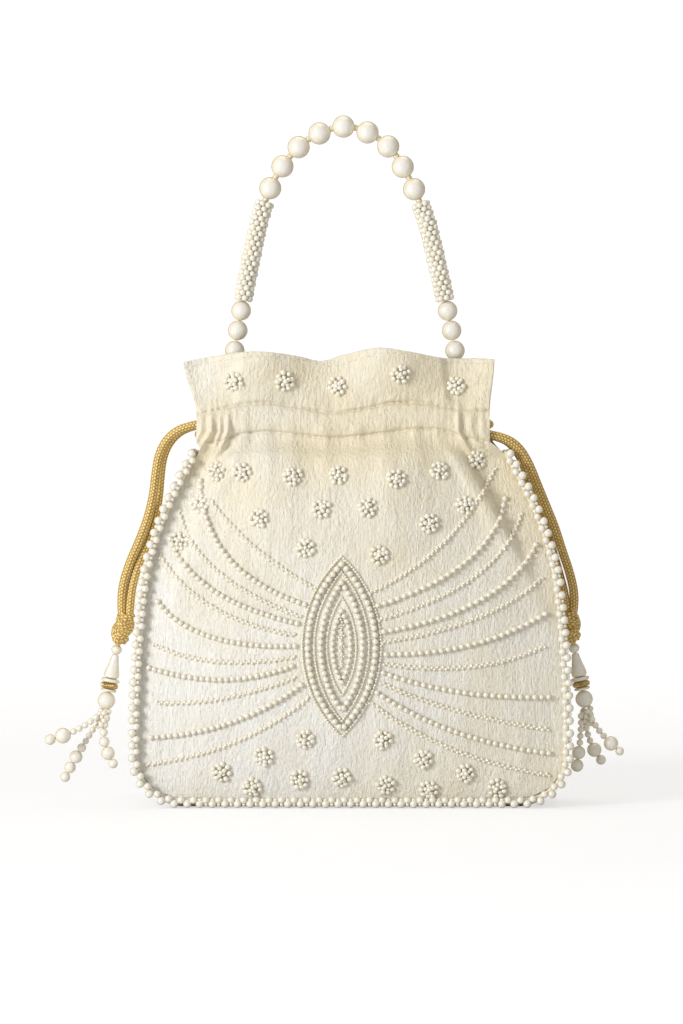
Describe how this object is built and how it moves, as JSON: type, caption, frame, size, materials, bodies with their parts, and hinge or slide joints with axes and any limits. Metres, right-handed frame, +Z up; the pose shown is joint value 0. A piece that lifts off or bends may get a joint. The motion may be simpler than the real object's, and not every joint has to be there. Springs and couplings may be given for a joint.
{
  "type": "drawstring evening bag",
  "caption": "Small silk drawstring pouch bag with pearl embroidery, a beaded arch handle, a gathered mouth, and side drawcords ending in knots and bead tassels.",
  "frame": {"origin": "middle of the flat base, on the surface the bag stands on", "axes": "+Z up, -Y towards the embroidered front, +X to the right as seen from the front"},
  "size_m": [0.2601, 0.0653, 0.3095],
  "materials": {
    "ivory_silk": "slubbed silk with a soft sheen",
    "lining_satin": "smooth satin",
    "board": "matt",
    "pearl": "pearl lustre",
    "seed_bead": "pearl lustre, small",
    "gold_cord": "braided metallic yarn",
    "gold_metal": "antique gold",
    "wire": "drawn wire",
    "thread": "stiff bead thread"
  },
  "bodies": {
    "pouch": {"front_panel": "ivory_silk", "back_panel": "ivory_silk", "side_gusset": "ivory_silk", "pouch_lining": "lining_satin", "base_board": "board", "front_piping": "ivory_silk", "back_piping": "ivory_silk", "front_outer_trim": "pearl", "front_inner_trim": "pearl", "back_outer_trim": "pearl", "back_inner_trim": "pearl", "motif_pearls": "pearl", "left_ray_pearls": "pearl", "right_ray_pearls": "pearl", "body_rosettes": "seed_bead", "left_handle_tab": "ivory_silk", "right_handle_tab": "ivory_silk", "anchor_pearls": "pearl", "anchor_pins": "wire", "left_cord_far_loop": "gold_cord", "right_cord_far_loop": "gold_cord"},
    "front_mouth": {"front_casing": "ivory_silk", "front_ruffle": "ivory_silk", "ruffle_rosettes": "seed_bead"},
    "back_mouth": {"back_casing": "ivory_silk", "back_ruffle": "ivory_silk"},
    "left_drawcord": {"left_cord_runs": "gold_cord", "left_strand_front": "gold_cord", "left_strand_back": "gold_cord", "left_knot": "gold_cord"},
    "right_drawcord": {"right_cord_runs": "gold_cord", "right_strand_front": "gold_cord", "right_strand_back": "gold_cord", "right_knot": "gold_cord"},
    "left_tassel": {"left_cap_pearl": "pearl", "left_teardrop": "pearl", "left_gold_ring": "gold_metal", "left_discs": "pearl", "left_round_pearl": "pearl", "left_string_beads": "pearl", "left_tassel_thread": "thread"},
    "right_tassel": {"right_cap_pearl": "pearl", "right_teardrop": "pearl", "right_gold_ring": "gold_metal", "right_discs": "pearl", "right_round_pearl": "pearl", "right_string_beads": "pearl", "right_tassel_thread": "thread"},
    "handle": {"handle_wire": "wire", "arch_pearls": "pearl", "lower_pearls": "pearl", "handle_spacers": "gold_metal", "left_sleeve_core": "thread", "left_sleeve_seeds": "seed_bead", "right_sleeve_core": "thread", "right_sleeve_seeds": "seed_bead"}
  },
  "joints": [
    {"name": "handle_swing", "type": "hinge", "parent": "pouch", "child": "handle", "pos_m": [0, 0, 0.204], "axis": [1, 0, 0], "range_deg": [-72, 72]},
    {"name": "left_cord_pull", "type": "slide", "parent": "pouch", "child": "left_drawcord", "axis": [-1, 0, 0], "range_m": [0, 0.03]},
    {"name": "right_cord_pull", "type": "slide", "parent": "pouch", "child": "right_drawcord", "axis": [1, 0, 0], "range_m": [0, 0.03]},
    {"name": "front_mouth_fold", "type": "hinge", "parent": "pouch", "child": "front_mouth", "pos_m": [0, -0.0105, 0.1686], "axis": [-1, 0, 0], "range_deg": [0, 6.2]},
    {"name": "back_mouth_fold", "type": "hinge", "parent": "pouch", "child": "back_mouth", "pos_m": [0, 0.0105, 0.1686], "axis": [1, 0, 0], "range_deg": [0, 6.2]},
    {"name": "left_tassel_swing", "type": "hinge", "parent": "left_drawcord", "child": "left_tassel", "pos_m": [-0.1055, 0, 0.0694], "axis": [0, 1, 0], "range_deg": [0, 60]},
    {"name": "right_tassel_swing", "type": "hinge", "parent": "right_drawcord", "child": "right_tassel", "pos_m": [0.1005, 0, 0.0701], "axis": [0, -1, 0], "range_deg": [0, 60]}
  ],
  "couplings": [
    {"joint": "right_cord_pull", "follows": "left_cord_pull", "ratio": 1},
    {"joint": "front_mouth_fold", "follows": "left_cord_pull", "rad_per_m": 3.49},
    {"joint": "back_mouth_fold", "follows": "left_cord_pull", "rad_per_m": 3.49}
  ]
}
